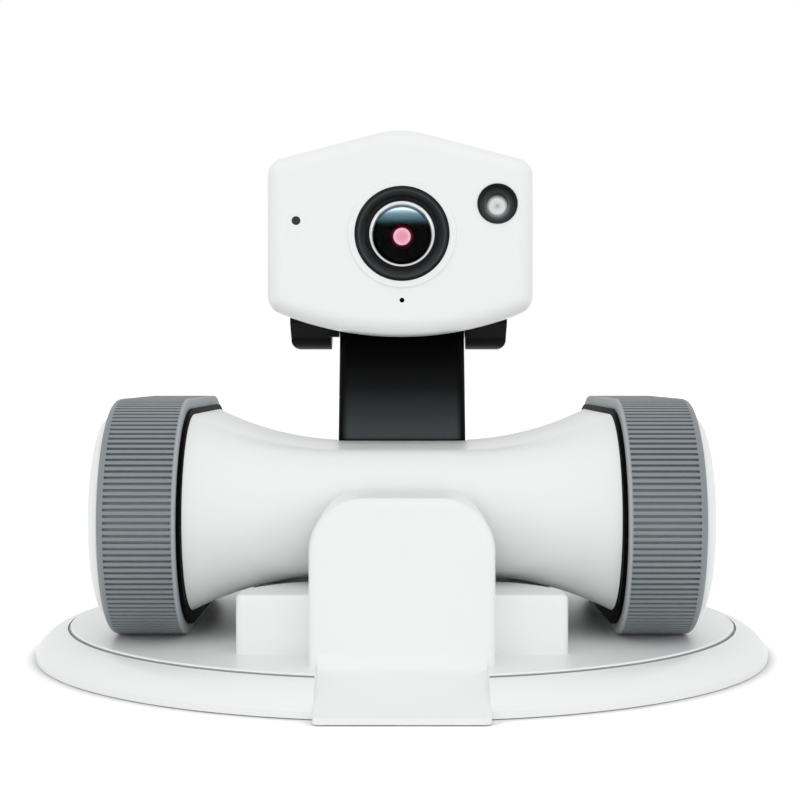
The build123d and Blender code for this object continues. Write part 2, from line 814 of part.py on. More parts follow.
# Track cover: a domed white cap outside the wheels, on the axle ends
with BuildPart() as track_cover:
    add(stadium_block(cover_inner_face, cover_outer_face, cover_radius, track_axis))
    fillet(track_cover.faces().sort_by(Axis.X)[-1].edges(), cover_rounding)
    add(
        stadium_block(
            cover_inner_face, cover_outer_face - cover_wall, cover_radius - cover_wall, track_axis
        ),
        mode=Mode.SUBTRACT,
    )
    with BuildSketch(across(cover_inner_face)):
        with Locations((front_axle, track_axis), (rear_axle, track_axis)):
            Circle(hub_radius)
        with Locations((0, track_axis + roller_rise), (0, track_axis - roller_rise)):
            Circle(roller_boss_radius)
    extrude(amount=cover_outer_face - cover_wall - cover_inner_face)
    with BuildSketch(across(cover_inner_face)):
        with Locations((front_axle, track_axis)):
            Circle(drive_shaft_radius + running_gap)
        with Locations((rear_axle, track_axis)):
            Circle(idler_axle_radius)
        with Locations((0, track_axis + roller_rise), (0, track_axis - roller_rise)):
            Circle(roller_pin_radius)
    extrude(amount=axle_end - cover_inner_face, mode=Mode.SUBTRACT)
save_pair(track_cover.part, "track_cover")

# Geared drive motors, each on its frame's inner boss
with BuildPart() as drive_motor:
    with BuildSketch(across(gearbox_outer)) as gearbox:
        with Locations((front_axle, track_axis)):
            RectangleRounded(gearbox_size, gearbox_size, motor_corner)
    extrude(amount=-gearbox_length)
    with BuildSketch(across(gearbox_outer - gearbox_length)):
        with Locations((front_axle, track_axis)):
            Circle(motor_radius)
    extrude(amount=-motor_length)
    with BuildSketch(across(gearbox_outer)):
        with Locations((front_axle, track_axis)):
            Circle(drive_shaft_radius + running_gap)
    extrude(amount=-8.5, mode=Mode.SUBTRACT)
save_pair(drive_motor.part, "drive_motor")

# Tray inside the body, with the neck's bearing brackets and the boards' posts
with BuildPart() as chassis_tray:
    with BuildSketch(Plane.XY.offset(tray_bottom)):
        Rectangle(2 * tray_half_length, 2 * tray_half_width)
        with Locations((speaker_x, tray_half_width + 3.5), (-speaker_x, tray_half_width + 3.5)):
            Rectangle(14, 7)
        with Locations((0, tray_half_width + 12)):
            Rectangle(2 * slot_half, 2 * (tray_half_width + 12 - pinion_y), mode=Mode.SUBTRACT)
        with Locations((-gear_face - gear_width / 2, neck_axis_y)):
            Rectangle(gear_width + 4 * fit_gap, 24, mode=Mode.SUBTRACT)
        for side in (-1, 1):
            with Locations((side * (boss_inner - gearbox_length / 2), front_axle)):
                Rectangle(gearbox_length + 2 * motor_corner, gearbox_size + 4, mode=Mode.SUBTRACT)
    extrude(amount=tray_thickness)
    with BuildSketch(Plane.XY.offset(tray_top)):
        with GridLocations(2 * (board_half_length - 1), board_back - board_front - 9, 2, 2):
            with Locations((0, (board_front + board_back) / 2)):
                Circle(post_radius)
    extrude(amount=board_height - tray_top)
    for x in (bracket_inner, -bracket_outer):
        with BuildSketch(across(x)):
            with Locations((neck_axis_y, (tray_bottom + 1.5 + body_axis) / 2)):
                Rectangle(14, body_axis - tray_bottom - 1.5)
            with Locations((neck_axis_y, body_axis)):
                Circle(7)
                Circle(bush_radius, mode=Mode.SUBTRACT)
        extrude(amount=bracket_thickness)
    with BuildSketch(across(-motor_bracket - 2)):
        with Locations((pinion_y, (tray_bottom + body_axis) / 2)):
            Rectangle(2 * neck_motor_radius, body_axis - tray_bottom)
        with Locations((pinion_y, body_axis)):
            Circle(neck_motor_radius)
            Circle(3, mode=Mode.SUBTRACT)
    extrude(amount=2)
    with BuildSketch(facing_front(tray_half_width + 7)):
        for x in (speaker_x, -speaker_x):
            with Locations((x, (tray_bottom + body_axis + 4) / 2)):
                Rectangle(14, body_axis + 4 - tray_bottom)
    extrude(amount=2)
chassis_tray.part.label = "chassis_tray"
export_step(chassis_tray.part, "parts/chassis_tray.step")

# Neck motor behind its bracket
with BuildPart() as neck_motor:
    with BuildSketch(across(-motor_bracket - 2)):
        with Locations((pinion_y, body_axis)):
            Circle(neck_motor_radius)
    extrude(amount=-neck_motor_length)
    with BuildSketch(across(-motor_bracket - 2)):
        with Locations((pinion_y, body_axis)):
            Circle(1.5 + running_gap)
    extrude(amount=-6.5, mode=Mode.SUBTRACT)
neck_motor.part.label = "neck_motor"
export_step(neck_motor.part, "parts/neck_motor.step")

# Battery pack, main board with its chips, loudspeaker and power switch
with BuildPart() as battery_pack:
    with BuildSketch(Plane.XY.offset(tray_top)):
        with Locations((0, battery_middle)):
            RectangleRounded(battery_length, battery_width, 3)
    extrude(amount=battery_height)
    fillet(battery_pack.faces().sort_by(Axis.Z)[-1].edges(), 1.5)
battery_pack.part.label = "battery_pack"
export_step(battery_pack.part, "parts/battery_pack.step")

with BuildPart() as main_board:
    board_middle = (board_front + board_back) / 2
    with BuildSketch(Plane.XY.offset(board_height)):
        with Locations((0, board_middle)):
            RectangleRounded(2 * (board_half_length + 2), board_back - board_front, 2)
    extrude(amount=main_board_thickness)
    with BuildSketch(Plane.XY.offset(board_height + main_board_thickness)):
        with Locations((-chip_size, board_middle)):
            Rectangle(chip_size, chip_size)
        with Locations((chip_size / 2, board_middle)):
            Rectangle(chip_size / 2, chip_size)
        with Locations((2 * chip_size, board_middle)):
            Rectangle(chip_size, 2 * chip_size / 3)
    extrude(amount=chip_height)
main_board.part.label = "main_board"
export_step(main_board.part, "parts/main_board.step")

speaker_seat = tray_half_width + 7
with BuildPart() as speaker:
    with BuildSketch(facing_front(speaker_seat, x=speaker_x, z=body_axis)):
        Circle(magnet_radius)
    extrude(amount=-magnet_depth)
    with BuildSketch(facing_front(speaker_seat + magnet_depth, x=speaker_x, z=body_axis)):
        Circle(speaker_radius)
    extrude(amount=-speaker_depth)
    with BuildSketch(facing_front(speaker_seat + magnet_depth + speaker_depth, x=speaker_x, z=body_axis)):
        Circle(speaker_radius - 1.5)
    extrude(amount=1.6, mode=Mode.SUBTRACT)
speaker.part.label = "speaker"
export_step(speaker.part, "parts/speaker.step")

with BuildPart() as power_switch:
    with BuildSketch(facing_front(speaker_seat, x=-speaker_x, z=body_axis)):
        RectangleRounded(switch_size, switch_size, 0.6)
    extrude(amount=-switch_depth)
    with BuildSketch(facing_front(speaker_seat + switch_depth, x=-speaker_x, z=body_axis)):
        Circle(plunger_radius)
    extrude(amount=-plunger_height)
power_switch.part.label = "power_switch"
export_step(power_switch.part, "parts/power_switch.step")

# Power button, held in the rear shell by its flange
button_start = speaker_seat + switch_depth + plunger_height + button_travel + fit_gap
flare_radius = ((body_half_span - waist_flat) ** 2 + (rim_radius - waist_radius) ** 2) / (
    2 * (rim_radius - waist_radius)
)
radius_there = waist_radius + flare_radius - sqrt(flare_radius**2 - (speaker_x - waist_flat) ** 2)
button_end = body_straight / 2 + radius_there + button_proud
with BuildPart() as power_button:
    with BuildSketch(facing_front(button_start, x=-speaker_x, z=body_axis)):
        Circle(button_flange)
    extrude(amount=-1.4)
    with BuildSketch(facing_front(button_start, x=-speaker_x, z=body_axis)):
        Circle(button_radius)
    extrude(amount=-(button_end - button_start))
    fillet(power_button.faces().sort_by(Axis.Y)[-1].edges(), 0.7)
power_button.part.label = "power_button"
export_step(power_button.part, "parts/power_button.step")

# Neck shaft, its two bushes, the large gear and the motor's pinion
with BuildPart() as neck_shaft:
    with BuildSketch(across(-gear_face - gear_width)):
        with Locations((neck_axis_y, body_axis)):
            Circle(neck_shaft_radius)
    extrude(amount=gear_face + gear_width + bracket_outer)
neck_shaft.part.label = "neck_shaft"
export_step(neck_shaft.part, "parts/neck_shaft.step")

with BuildPart() as neck_bushes:
    for x in (bracket_inner, -bracket_outer):
        with BuildSketch(across(x)):
            with Locations((neck_axis_y, body_axis)):
                Circle(bush_radius)
                Circle(neck_shaft_radius + running_gap, mode=Mode.SUBTRACT)
        extrude(amount=bracket_thickness)
neck_bushes.part.label = "neck_bushes"
export_step(neck_bushes.part, "parts/neck_bushes.step")

with BuildPart() as neck_gear:
    with BuildSketch(across(-gear_face - gear_width)):
        with Locations((neck_axis_y, body_axis)):
            Polygon(*gear_points(gear_teeth, pi + pi / gear_teeth), align=None)
            Circle(neck_shaft_radius, mode=Mode.SUBTRACT)
            with PolarLocations(8.5, 5):
                Circle(2.6, mode=Mode.SUBTRACT)
    extrude(amount=gear_width)
neck_gear.part.label = "neck_gear"
export_step(neck_gear.part, "parts/neck_gear.step")

with BuildPart() as neck_pinion:
    with BuildSketch(across(-gear_face - gear_width)):
        with Locations((pinion_y, body_axis)):
            Polygon(*gear_points(pinion_teeth, 0), align=None)
    extrude(amount=gear_width)
    with BuildSketch(across(-gear_face - gear_width)):
        with Locations((pinion_y, body_axis)):
            Circle(1.5)
    extrude(amount=-(2 * fit_gap + 2 + 6))
neck_pinion.part.label = "neck_pinion"
export_step(neck_pinion.part, "parts/neck_pinion.step")

# Neck arm: a drum in the body, a tapered upright that leans back, and the knuckle at its top
lean_run = tilt_axis_y - neck_axis_y
lean_rise = tilt_axis_z - body_axis
neck_lean = degrees(atan2(lean_run, lean_rise))
arm_bottom = body_axis + 10
arm_top = tilt_axis_z - 3
with BuildPart() as neck_arm:
    for height, width, depth in (
        (arm_bottom, neck_width, neck_depth),
        (arm_top, neck_top_width, neck_top_depth),
    ):
        with BuildSketch(Plane.XY.offset(height)):
            with Locations((0, neck_axis_y + lean_run * (height - body_axis) / lean_rise)):
                RectangleRounded(width, depth, neck_corner)
    loft()
    with BuildSketch(across(-neck_half)):
        with Locations((neck_axis_y, body_axis)):
            Circle(drum_radius)
    extrude(amount=neck_width)
    with BuildSketch(across(-neck_top_width / 2)):
        with Locations((tilt_axis_y, tilt_axis_z)):
            Circle(knuckle_radius)
    extrude(amount=neck_top_width)
    with BuildSketch(across(-neck_half + drum_wall)):
        with Locations((neck_axis_y, body_axis)):
            Circle(drum_radius - drum_wall)
            Circle(neck_shaft_radius + 3, mode=Mode.SUBTRACT)
        with Locations((neck_axis_y, body_axis - drum_radius)):
            Rectangle(18, drum_radius)
    extrude(amount=neck_width - 2 * drum_wall, mode=Mode.SUBTRACT)
    middle = (arm_bottom + arm_top) / 2 + 3
    middle_y = neck_axis_y + lean_run * (middle - body_axis) / lean_rise
    cover_length = 30.0
    cover_width = 34.0
    with Locations(Location((0, middle_y, middle), (-neck_lean, 0, 0))):
        Box(
            cover_width + 0.2,
            neck_depth,
            cover_length + 0.2,
            align=(Align.CENTER, Align.MIN, Align.CENTER),
            mode=Mode.SUBTRACT,
        )
    with BuildSketch(across(-neck_half)):
        with Locations((neck_axis_y, body_axis)):
            Circle(neck_shaft_radius)
        with Locations((tilt_axis_y, tilt_axis_z)):
            Circle(tilt_pin_radius + running_gap)
    extrude(amount=neck_width, mode=Mode.SUBTRACT)
neck_arm.part.label = "neck_arm"
export_step(neck_arm.part, "parts/neck_arm.step")

# Cover over the cable channel in the back of the neck
with BuildPart() as neck_rear_cover:
    with Locations(Location((0, middle_y, middle), (-neck_lean, 0, 0))):
        with Locations((0, neck_top_depth / 2 - 0.2, 0)):
            Box(cover_width, 2.0, cover_length, align=(Align.CENTER, Align.MAX, Align.CENTER))
neck_rear_cover.part.label = "neck_rear_cover"
export_step(neck_rear_cover.part, "parts/neck_rear_cover.step")

# Head front shell, with its openings and the raised bead round the lens
with BuildPart() as head_front_shell:
    add(head_block(0, head_split, head_front, head_edge))
    with BuildSketch(facing_front(head_front, z=lens_z)):
        Circle(bead_radius)
    extrude(amount=bead_height)
    fillet(head_front_shell.faces().sort_by(Axis.Y)[0].edges(), bead_height * 0.8)
    add(
        head_block(head_wall, head_split, head_front + head_wall, head_edge - head_wall),
        mode=Mode.SUBTRACT,
    )
    with BuildSketch(facing_front(head_front + head_wall, z=lens_z)):
        Circle(bezel_radius + 0.1)
        with Locations((lamp_x, lamp_rise)):
            Circle(lamp_radius + 0.1)
        with Locations((sensor_x, sensor_rise)):
            Circle(sensor_radius)
        with Locations((0, -mic_drop)):
            Circle(mic_radius)
    extrude(amount=head_wall + bead_height, mode=Mode.SUBTRACT)
head_front_shell.part.label = "head_front_shell"
export_step(head_front_shell.part, "parts/head_front_shell.step")

# Head rear shell, with the two hinge lugs either side of the neck
with BuildPart() as head_rear_shell:
    add(head_block(back_inset, head_back, head_split, 0))
    fillet(head_rear_shell.faces().sort_by(Axis.Y)[-1].edges(), 3.0)
    with BuildSketch(facing_front(head_back - head_wall, x=head_x)):
        with Locations((0, (slot_ceiling + head_wall + head_side_top - 6) / 2)):
            RectangleRounded(2 * (head_half_width - 7), head_side_top - 6 - slot_ceiling - head_wall, 4)
    extrude(amount=head_back - head_wall - head_split, mode=Mode.SUBTRACT)
    with BuildPart(mode=Mode.PRIVATE) as lug_bar:
        with BuildSketch(across(lug_x - lug_half_span)):
            with BuildLine():
                Polyline(
                    (lug_front, head_side_bottom - 4),
                    (tilt_axis_y - 3, tilt_axis_z - sqrt(lug_radius**2 - 9)),
                    (tilt_axis_y + 3, tilt_axis_z + sqrt(lug_radius**2 - 9)),
                    (head_back - 3, slot_ceiling + 8),
                    (lug_front, slot_ceiling + 8),
                    close=True,
                )
            make_face()
            with Locations((tilt_axis_y, tilt_axis_z)):
                Circle(lug_radius)
        extrude(amount=2 * lug_half_span)
        with BuildSketch(facing_front(tilt_axis_y + lug_radius, x=lug_x)) as lug_face:
            with Locations((0, (tilt_axis_z - lug_radius + slot_ceiling + 8) / 2)):
                Rectangle(2 * lug_half_span, slot_ceiling + 8 - tilt_axis_z + lug_radius)
            fillet(lug_face.vertices().group_by(Axis.Y)[0], lug_end_rounding)
        extrude(amount=tilt_axis_y + lug_radius - lug_front, mode=Mode.INTERSECT)
    add(lug_bar.part)
    with Locations((lug_x, slot_depth_front, slot_ceiling)):
        Box(2 * lug_slot_half, 60, 60, align=(Align.CENTER, Align.MIN, Align.MAX), mode=Mode.SUBTRACT)
    with BuildSketch(across(lug_x - lug_half_span + pin_end_inset)):
        with Locations((tilt_axis_y, tilt_axis_z)):
            Circle(tilt_pin_radius)
    extrude(amount=2 * (lug_half_span - pin_end_inset), mode=Mode.SUBTRACT)
head_rear_shell.part.label = "head_rear_shell"
export_step(head_rear_shell.part, "parts/head_rear_shell.step")

# Hinge pin between the head's lugs and through the neck's knuckle
with BuildPart() as tilt_pin:
    with BuildSketch(across(lug_x - lug_half_span + pin_end_inset)):
        with Locations((tilt_axis_y, tilt_axis_z)):
            Circle(tilt_pin_radius)
    extrude(amount=2 * (lug_half_span - pin_end_inset))
tilt_pin.part.label = "tilt_pin"
export_step(tilt_pin.part, "parts/tilt_pin.step")

# Lens: black bezel, silver trim ring, domed glass and the stepped barrel behind it
lens_sketch = Plane(origin=(0, 0, lens_z), x_dir=(1, 0, 0), z_dir=(0, 0, 1))
lens_axis = Axis((0, 0, lens_z), (0, 1, 0))
bezel_back = head_front + 6.0
trim_front = head_front + 1.2
with BuildPart() as lens_bezel:
    with BuildSketch(lens_sketch):
        with BuildLine():
            Polyline(
                (trim_radius, trim_front),
                (trim_radius + 1.2, trim_front - 0.6),
                (bezel_radius - 1.6, head_front - 1.3),
                (bezel_radius - 0.6, head_front - 1.1),
                (bezel_radius, head_front - 0.4),
                (bezel_radius, bezel_back),
                (trim_radius, bezel_back),
                close=True,
            )
        make_face()
    revolve(axis=lens_axis)
lens_bezel.part.label = "lens_bezel"
export_step(lens_bezel.part, "parts/lens_bezel.step")

with BuildPart() as lens_trim_ring:
    with BuildSketch(lens_sketch):
        with BuildLine():
            Polyline(
                (glass_radius, trim_front + 0.9),
                (glass_radius + 0.3, trim_front - 0.3),
                (trim_radius - 0.2, trim_front - 0.3),
                (trim_radius, trim_front + 0.2),
                (trim_radius, bezel_back),
                (glass_radius, bezel_back),
                close=True,
            )
        make_face()
    revolve(axis=lens_axis)
lens_trim_ring.part.label = "lens_trim_ring"
export_step(lens_trim_ring.part, "parts/lens_trim_ring.step")

glass_edge = trim_front + 1.4
dome_radius = (glass_radius**2 + 2.0**2) / (2 * 2.0)
dome_angle = degrees(asin(glass_radius / dome_radius))
with BuildPart() as lens_glass:
    with BuildSketch(lens_sketch):
        with BuildLine():
            dome = CenterArc((0, glass_edge - 2.0 + dome_radius), dome_radius, -90, dome_angle)
            Polyline(dome @ 1, (glass_radius, glass_edge + 0.8), (0, glass_edge + 0.8), dome @ 0)
        make_face()
    revolve(axis=lens_axis)
lens_glass.part.label = "lens_glass"
export_step(lens_glass.part, "parts/lens_glass.step")

board_face = head_split - 7.0
barrel_front = glass_edge + 1.0
with BuildPart() as lens_barrel:
    with BuildSketch(lens_sketch):
        with BuildLine():
            Polyline(
                (0, barrel_front + 3.0),
                (3.0, barrel_front + 3.0),
                (3.6, barrel_front + 1.6),
                (6.2, barrel_front + 1.6),
                (6.8, barrel_front + 0.4),
                (glass_radius - 0.1, barrel_front + 0.4),
                (glass_radius - 0.1, bezel_back + 1),
                (8.2, bezel_back + 2),
                (8.2, board_face),
                (0, board_face),
                close=True,
            )
        make_face()
    revolve(axis=lens_axis)
lens_barrel.part.label = "lens_barrel"
export_step(lens_barrel.part, "parts/lens_barrel.step")

# Camera board behind the lens
with BuildPart() as camera_board:
    with BuildSketch(facing_front(board_face + main_board_thickness, z=lens_z)):
        RectangleRounded(2 * (head_half_width - camera_board_inset), camera_board_height, 2)
    extrude(amount=main_board_thickness)
    with BuildSketch(facing_front(board_face + main_board_thickness, z=lens_z)):
        with GridLocations(3 * chip_size, 1, 2, 1):
            Rectangle(chip_size, chip_size)
    extrude(amount=-chip_height)
camera_board.part.label = "camera_board"
export_step(camera_board.part, "parts/camera_board.step")

# Night lamp: black bezel and clear domed lamp in it
lamp_sketch = Plane(origin=(lamp_x, 0, lens_z + lamp_rise), x_dir=(1, 0, 0), z_dir=(0, 0, 1))
lamp_axis = Axis((lamp_x, 0, lens_z + lamp_rise), (0, 1, 0))
with BuildPart() as lamp_bezel:
    with BuildSketch(lamp_sketch):
        with BuildLine():
            Polyline(
                (lamp_glass_radius, head_front + 1.6),
                (lamp_glass_radius + 0.8, head_front + 1.0),
                (lamp_radius - 0.9, head_front - 0.5),
                (lamp_radius - 0.2, head_front - 0.5),
                (lamp_radius, head_front - 0.2),
                (lamp_radius, bezel_back),
                (lamp_glass_radius, bezel_back),
                close=True,
            )
        make_face()
    revolve(axis=lamp_axis)
lamp_bezel.part.label = "lamp_bezel"
export_step(lamp_bezel.part, "parts/lamp_bezel.step")

with BuildPart() as night_lamp:
    with BuildSketch(lamp_sketch):
        with BuildLine():
            dome = SagittaArc((0, head_front + 0.4), (lamp_glass_radius - 0.1, head_front + 2.2), 0.35)
            Polyline(
                dome @ 1,
                (lamp_glass_radius - 0.1, board_face),
                (0, board_face),
                dome @ 0,
            )
        make_face()
    revolve(axis=lamp_axis)
night_lamp.part.label = "night_lamp"
export_step(night_lamp.part, "parts/night_lamp.step")

# Light sensor behind its small round hole
with BuildPart() as light_sensor:
    with BuildSketch(facing_front(board_face, x=sensor_x, z=lens_z + sensor_rise)):
        Circle(sensor_radius - running_gap)
    extrude(amount=board_face - head_front - 0.8)
light_sensor.part.label = "light_sensor"
export_step(light_sensor.part, "parts/light_sensor.step")

# Four screws in the head's back
with BuildPart() as head_screws:
    low_row = slot_ceiling + head_screw_above
    high_row = head_side_top - head_screw_below
    with BuildSketch(facing_front(head_back + 0.01, x=head_x, z=(low_row + high_row) / 2)):
        with GridLocations(2 * (head_half_width - head_screw_inset), high_row - low_row, 2, 2):
            Circle(head_screw_radius)
    extrude(amount=-head_screw_height)
head_screws.part.label = "head_screws"
export_step(head_screws.part, "parts/head_screws.step")
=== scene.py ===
import json
import math

import bmesh
import bpy
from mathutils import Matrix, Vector


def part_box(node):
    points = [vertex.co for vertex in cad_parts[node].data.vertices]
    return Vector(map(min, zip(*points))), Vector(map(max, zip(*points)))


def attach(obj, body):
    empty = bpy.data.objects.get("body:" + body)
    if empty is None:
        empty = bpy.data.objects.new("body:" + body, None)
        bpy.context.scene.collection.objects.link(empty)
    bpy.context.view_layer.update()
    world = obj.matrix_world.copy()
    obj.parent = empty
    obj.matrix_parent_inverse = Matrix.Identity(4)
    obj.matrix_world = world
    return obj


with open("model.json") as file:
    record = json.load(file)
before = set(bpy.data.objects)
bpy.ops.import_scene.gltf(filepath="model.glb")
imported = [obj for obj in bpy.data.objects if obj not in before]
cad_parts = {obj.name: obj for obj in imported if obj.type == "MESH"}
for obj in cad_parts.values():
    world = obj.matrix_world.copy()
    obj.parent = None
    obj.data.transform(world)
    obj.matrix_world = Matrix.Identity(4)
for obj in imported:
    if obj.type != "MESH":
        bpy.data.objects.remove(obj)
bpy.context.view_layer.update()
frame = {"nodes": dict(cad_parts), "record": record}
nodes = frame["nodes"]
scene = bpy.context.scene
scene.view_settings.view_transform = "Standard"
MM = 0.001

# The camera stands on the middle line and looks level, and the frame is shifted to where the
# photograph has that line and the horizon. Distances are in metres, and the sensor in millimetres.
IMAGE_SIZE = 800
SENSOR = 36.0
FOCAL_PIXELS = 1638.7
CAMERA_DISTANCE = 0.5396
CAMERA_HEIGHT = 0.0902
MIDDLE_X_PIXEL = 402.0
HORIZON_PIXEL = 372.2

# The Mix node's colour sockets, by number because its other sockets have the same names
COLOUR_A, COLOUR_B, COLOUR_OUT = 6, 7, 2

# Slow patterns that every finish of a kind shares, in millimetres: a moulding's patches of shade
# and gloss, the marks of a cloth in a polish, and the depth of the marks in a metal. The cloth's
# are drawn coarser than real ones, which would be too fine to show.
SHADE_PATCH = 45
CLOTH_MARK = 3
METAL_MARK_DEPTH = 0.02


def linear(hex_colour):
    """An sRGB hex colour as linear red, green, blue and full alpha."""
    parts = [int(hex_colour[i : i + 2], 16) / 255 for i in (1, 3, 5)]
    turned = [p / 12.92 if p <= 0.04045 else ((p + 0.055) / 1.055) ** 2.4 for p in parts]
    return (*turned, 1.0)


def add(tree, kind, inputs=None, **settings):
    """Adds one node, with its settings and each input set to a value or joined to an output."""
    node = tree.nodes.new(kind)
    for name, value in settings.items():
        setattr(node, name, value)
    for socket, value in (inputs or {}).items():
        if isinstance(value, bpy.types.NodeSocket):
            tree.links.new(value, node.inputs[socket])
        else:
            node.inputs[socket].default_value = value
    return node


def blank(name):
    """A material with an empty node tree and its output."""
    material = bpy.data.materials.new(name)
    material.use_nodes = True
    tree = material.node_tree
    tree.nodes.clear()
    return material, tree, tree.nodes.new("ShaderNodeOutputMaterial")


def per_mm(size):
    """A texture's scale, so that one repeat measures this many millimetres."""
    return 1 / (size * MM)


def banded(tree, measure, bands):
    """A colour that changes along a measure. Bands are (millimetres, colour) in rising order."""
    start, end = bands[0][0], bands[-1][0]
    share = add(
        tree,
        "ShaderNodeMapRange",
        {"Value": measure, "From Min": start * MM, "From Max": end * MM},
    )
    ramp = add(tree, "ShaderNodeValToRGB", {"Fac": share.outputs["Result"]})
    stops = ramp.color_ramp.elements
    for distance, colour in bands[1:-1]:
        stops.new((distance - start) / (end - start))
    for stop, (distance, colour) in zip(stops, bands):
        stop.position = (distance - start) / (end - start)
        stop.color = linear(colour)
    return ramp.outputs["Color"]


def turning(tree, base, measure, start, end, colour):
    """A colour that turns to another between two distances, in millimetres, along a measure."""
    share = add(
        tree,
        "ShaderNodeMapRange",
        {"Value": measure, "From Min": start * MM, "From Max": end * MM},
        interpolation_type="SMOOTHSTEP",
    )
    mix = add(
        tree,
        "ShaderNodeMix",
        {"Factor": share.outputs["Result"], COLOUR_A: base, COLOUR_B: linear(colour)},
        data_type="RGBA",
    )
    return mix.outputs[COLOUR_OUT]


def from_line(tree, offset):
    """How far a point is from a line along Y."""
    flat = add(tree, "ShaderNodeVectorMath", {0: offset, 1: (1, 0, 1)}, operation="MULTIPLY")
    far = add(tree, "ShaderNodeVectorMath", {0: flat.outputs["Vector"]}, operation="LENGTH")
    return far.outputs["Value"]


def moulded(name, colours, roughness, ior, grain, depth, by_height=False, sides=None, **finish):
    """A moulded polymer with uneven gloss and the fine grain that the mould leaves, whose size and
    depth are in millimetres. Colours are two near shades in slow patches, or with by_height they
    are bands up from the table, which paint light, shade and reflection into the colour. Sides is
    (from, to, colour), for a surface whose colour turns to another between those two distances
    from the middle line, which paints light or shade there. Finish sets more of the shader's
    sockets."""
    material, tree, output = blank(name)
    place = add(tree, "ShaderNodeTexCoord").outputs["Object"]
    split = add(tree, "ShaderNodeSeparateXYZ", {"Vector": place})
    patches = add(
        tree, "ShaderNodeTexNoise", {"Vector": place, "Scale": per_mm(SHADE_PATCH), "Detail": 2.0}
    ).outputs["Fac"]
    if by_height:
        base = banded(tree, split.outputs["Z"], colours)
    else:
        first, second = colours
        base = add(
            tree,
            "ShaderNodeMix",
            {"Factor": patches, COLOUR_A: linear(first), COLOUR_B: linear(second)},
            data_type="RGBA",
        ).outputs[COLOUR_OUT]
    if sides:
        aside = add(tree, "ShaderNodeMath", {0: split.outputs["X"]}, operation="ABSOLUTE")
        base = turning(tree, base, aside.outputs["Value"], *sides)
    gloss = add(
        tree,
        "ShaderNodeMapRange",
        {"Value": patches, "To Min": roughness * 0.88, "To Max": roughness * 1.12},
    )
    texture = add(
        tree, "ShaderNodeTexNoise", {"Vector": place, "Scale": per_mm(grain), "Detail": 3.0}
    )
    bump = add(
        tree,
        "ShaderNodeBump",
        {"Height": texture.outputs["Fac"], "Strength": 0.6, "Distance": depth * MM},
    )
    shader = add(
        tree,
        "ShaderNodeBsdfPrincipled",
        {
            "Base Color": base,
            "Roughness": gloss.outputs["Result"],
            "IOR": ior,
            "Normal": bump.outputs["Normal"],
        },
    )
    for socket, amount in finish.items():
        shader.inputs[socket.replace("_", " ")].default_value = amount
    tree.links.new(shader.outputs["BSDF"], output.inputs["Surface"])
    return material


def metal(name, colour, roughness, marks, anisotropy=0.0):
    """A worked metal, with the fine marks of its making this many millimetres apart."""
    material, tree, output = blank(name)
    place = add(tree, "ShaderNodeTexCoord").outputs["Object"]
    pattern = add(
        tree, "ShaderNodeTexNoise", {"Vector": place, "Scale": per_mm(marks), "Detail": 4.0}
    ).outputs["Fac"]
    gloss = add(
        tree,
        "ShaderNodeMapRange",
        {"Value": pattern, "To Min": roughness * 0.8, "To Max": roughness * 1.25},
    )
    bump = add(
        tree,
        "ShaderNodeBump",
        {"Height": pattern, "Strength": 0.3, "Distance": METAL_MARK_DEPTH * MM},
    )
    shader = add(
        tree,
        "ShaderNodeBsdfPrincipled",
        {
            "Base Color": linear(colour),
            "Metallic": 1.0,
            "Roughness": gloss.outputs["Result"],
            "Anisotropic": anisotropy,
            "Normal": bump.outputs["Normal"],
        },
    )
    tree.links.new(shader.outputs["BSDF"], output.inputs["Surface"])
    return material


def coated(
    name,
    middle,
    bands,
    by_height=False,
    roughness=0.2,
    level=0.05,
    mirrored=False,
    crescent=None,
):
    """A glossy surface whose colour changes as bands in rings about its middle, or with by_height
    up from it; the bands paint light, shade and reflections into the colour. Level is the strength
    of its gloss, and with mirrored it reflects as metal does. Crescent is (drop, from, to, colour),
    for a painted reflection that turns the surface to another colour between those two distances
    from a point that much below its middle."""
    material, tree, output = blank(name)
    place = add(tree, "ShaderNodeTexCoord").outputs["Object"]
    offset = add(
        tree, "ShaderNodeVectorMath", {0: place, 1: middle}, operation="SUBTRACT"
    ).outputs["Vector"]
    if by_height:
        measure = add(tree, "ShaderNodeSeparateXYZ", {"Vector": offset}).outputs["Z"]
    else:
        measure = from_line(tree, offset)
    base = banded(tree, measure, bands)
    if crescent:
        drop, start, end, colour = crescent
        lowered = add(tree, "ShaderNodeVectorMath", {0: offset, 1: (0, 0, drop * MM)})
        reach = from_line(tree, lowered.outputs["Vector"])
        base = turning(tree, base, reach, start, end, colour)
    wipes = add(
        tree, "ShaderNodeTexNoise", {"Vector": place, "Scale": per_mm(CLOTH_MARK), "Detail": 2.0}
    )
    gloss = add(
        tree,
        "ShaderNodeMapRange",
        {"Value": wipes.outputs["Fac"], "To Min": roughness * 0.8, "To Max": roughness * 1.2},
    )
    values = {
        "Base Color": base,
        "Roughness": gloss.outputs["Result"],
        "Specular IOR Level": level,
    }
    if mirrored:
        values["Metallic"] = 1.0
    else:
        values["IOR"] = 1.6
    shader = add(tree, "ShaderNodeBsdfPrincipled", values)
    tree.links.new(shader.outputs["BSDF"], output.inputs["Surface"])
    return material


